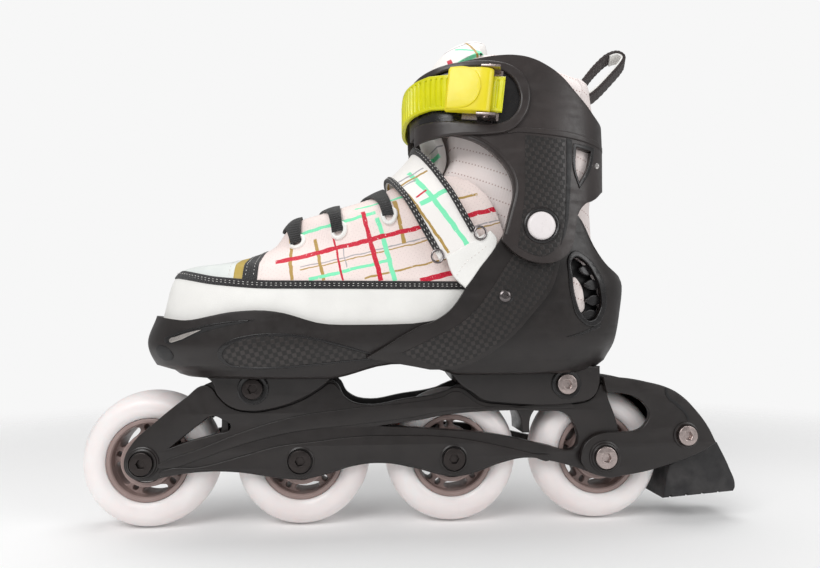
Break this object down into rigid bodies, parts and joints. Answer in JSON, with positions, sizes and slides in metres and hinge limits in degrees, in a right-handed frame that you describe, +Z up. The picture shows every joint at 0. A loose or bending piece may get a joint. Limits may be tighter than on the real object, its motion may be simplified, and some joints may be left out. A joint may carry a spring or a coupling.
{
  "type": "inline skate",
  "caption": "Inline skate with a hard shell, hinged ankle cuff, ratchet buckle strap, soft upper, in-line wheels on a moulded frame and a heel brake.",
  "frame": {"origin": "on the ground, under the middle of the skate's overall box", "axes": "+Z up, the toe points to -X, the heel brake to +X, the outer side with the buckle faces -Y"},
  "size_m": [0.3522, 0.1011, 0.2731],
  "materials": {
    "tyre": "translucent white urethane, lightly scuffed tread",
    "core": "moulded beige nylon",
    "bearing": "ground steel with a shield",
    "bolt_dark": "black zinc",
    "bolt_rose": "brushed, warm grey",
    "frame": "fine-grained moulded charcoal",
    "brake_rubber": "moulded black rubber",
    "shell": "fine-grained moulded charcoal with a printed weave",
    "cuff": "fine-grained moulded charcoal with a printed weave",
    "rivet": "white cap",
    "buckle": "bright yellow-green moulding",
    "upper": "white coated synthetic leather",
    "quarter": "pale pink perforated synthetic leather with a printed check",
    "liner": "padded pale pink mesh lining",
    "tongue": "padded white synthetic leather with a printed check",
    "strap": "white coated webbing with a printed check",
    "lace": "flat woven black lace",
    "webbing": "ribbed black webbing",
    "insole": "felted foam"
  },
  "bodies": {
    "boot": {"frame": "frame", "front_bolt_outer": "bolt_dark", "front_bolt_inner": "bolt_dark", "rear_bolt_outer": "bolt_rose", "rear_bolt_inner": "bolt_rose", "brake_housing": "frame", "brake_pad": "brake_rubber", "brake_bolt": "bolt_rose", "shell": "shell", "ankle_arm_outer": "shell", "ankle_arm_inner": "shell", "trim_screw_outer": "bolt_rose", "trim_screw_inner": "bolt_rose", "ankle_rivet_outer": "rivet", "ankle_rivet_inner": "rivet", "toe_rand": "upper", "quarter": "quarter", "liner": "liner", "insole": "insole", "tongue": "tongue", "instep_strap": "strap", "lace_1": "lace", "lace_2": "lace", "lace_3": "lace", "spacer_1": "bearing", "axle_1": "bolt_dark", "axle_screw_1": "bolt_dark", "spacer_2": "bearing", "axle_2": "bolt_dark", "axle_screw_2": "bolt_dark", "spacer_3": "bearing", "axle_3": "bolt_dark", "axle_screw_3": "bolt_dark", "spacer_4": "bearing", "axle_4": "bolt_rose", "axle_screw_4": "bolt_dark"},
    "wheel_1": {"tyre_1": "tyre", "core_1": "core", "bearing_1_outer": "bearing", "bearing_1_inner": "bearing"},
    "wheel_2": {"tyre_2": "tyre", "core_2": "core", "bearing_2_outer": "bearing", "bearing_2_inner": "bearing"},
    "wheel_3": {"tyre_3": "tyre", "core_3": "core", "bearing_3_outer": "bearing", "bearing_3_inner": "bearing"},
    "wheel_4": {"tyre_4": "tyre", "core_4": "core", "bearing_4_outer": "bearing", "bearing_4_inner": "bearing"},
    "cuff": {"cuff": "cuff", "buckle_base": "bolt_rose", "lever_pin": "bolt_rose", "ladder_strap": "buckle", "strap_screw": "bolt_rose", "pull_loop": "webbing"},
    "lever": {"buckle_lever": "buckle"}
  },
  "joints": [
    {"name": "wheel_1_spin", "type": "hinge", "parent": "boot", "child": "wheel_1", "pos_m": [-0.14005, 0.0041, 0.036], "axis": [0, 1, 0], "continuous": true},
    {"name": "wheel_2_spin", "type": "hinge", "parent": "boot", "child": "wheel_2", "pos_m": [-0.05955, 0.0041, 0.036], "axis": [0, 1, 0], "continuous": true},
    {"name": "wheel_3_spin", "type": "hinge", "parent": "boot", "child": "wheel_3", "pos_m": [0.02095, 0.0041, 0.036], "axis": [0, 1, 0], "continuous": true},
    {"name": "wheel_4_spin", "type": "hinge", "parent": "boot", "child": "wheel_4", "pos_m": [0.10145, 0.0041, 0.036], "axis": [0, 1, 0], "continuous": true},
    {"name": "cuff_flex", "type": "hinge", "parent": "boot", "child": "cuff", "pos_m": [0.0634, 0.0041, 0.156], "axis": [0, -1, 0], "range_deg": [-5, 8], "deforming": ["liner", "tongue"]},
    {"name": "buckle_lever_open", "type": "hinge", "parent": "cuff", "child": "lever", "pos_m": [0.03634, -0.04602, 0.22696], "axis": [0.1182, -0.0295, 0.9925], "range_deg": [0, 60]}
  ]
}
